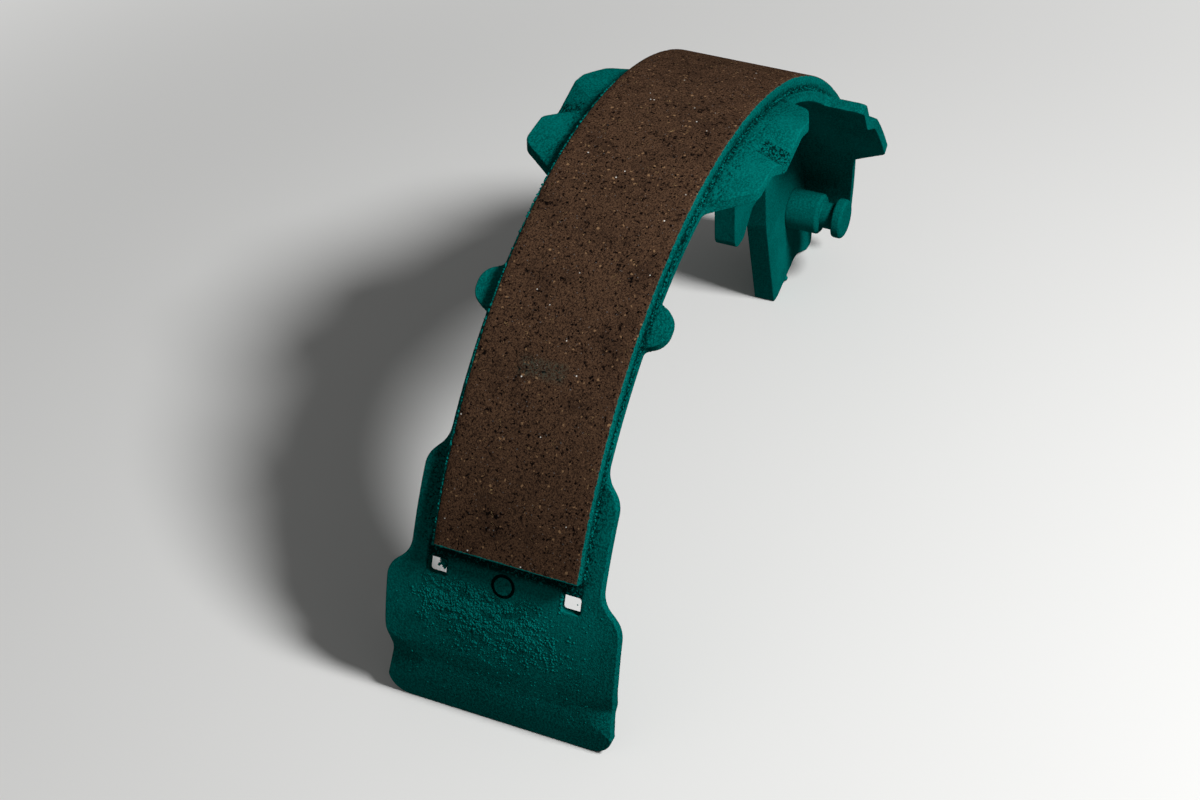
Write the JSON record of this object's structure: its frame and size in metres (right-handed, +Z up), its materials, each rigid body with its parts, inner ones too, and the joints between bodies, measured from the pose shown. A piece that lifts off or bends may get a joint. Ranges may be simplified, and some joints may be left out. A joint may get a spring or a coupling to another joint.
{
  "type": "brake shoe",
  "caption": "Curved drum brake shoe: a rolled steel rim with stepped tabs on a flat web, a bonded friction lining outside and a shouldered lever pivot pin at one end.",
  "frame": {"origin": "middle of the footprint on the floor, under the arch", "axes": "+Z up as the shoe stands on its toe, its foot and the lower edge of its end plate; +X along the arch towards the end plate; +Y across the width, towards the side that carries the lever pivot pin"},
  "size_m": [0.2222, 0.0644, 0.1131],
  "materials": {
    "teal_paint": "satin",
    "friction_composite": "matte"
  },
  "bodies": {
    "root": {"rim": "teal_paint", "web": "teal_paint", "lever_pivot_pin": "teal_paint", "friction_lining": "friction_composite"}
  },
  "joints": []
}
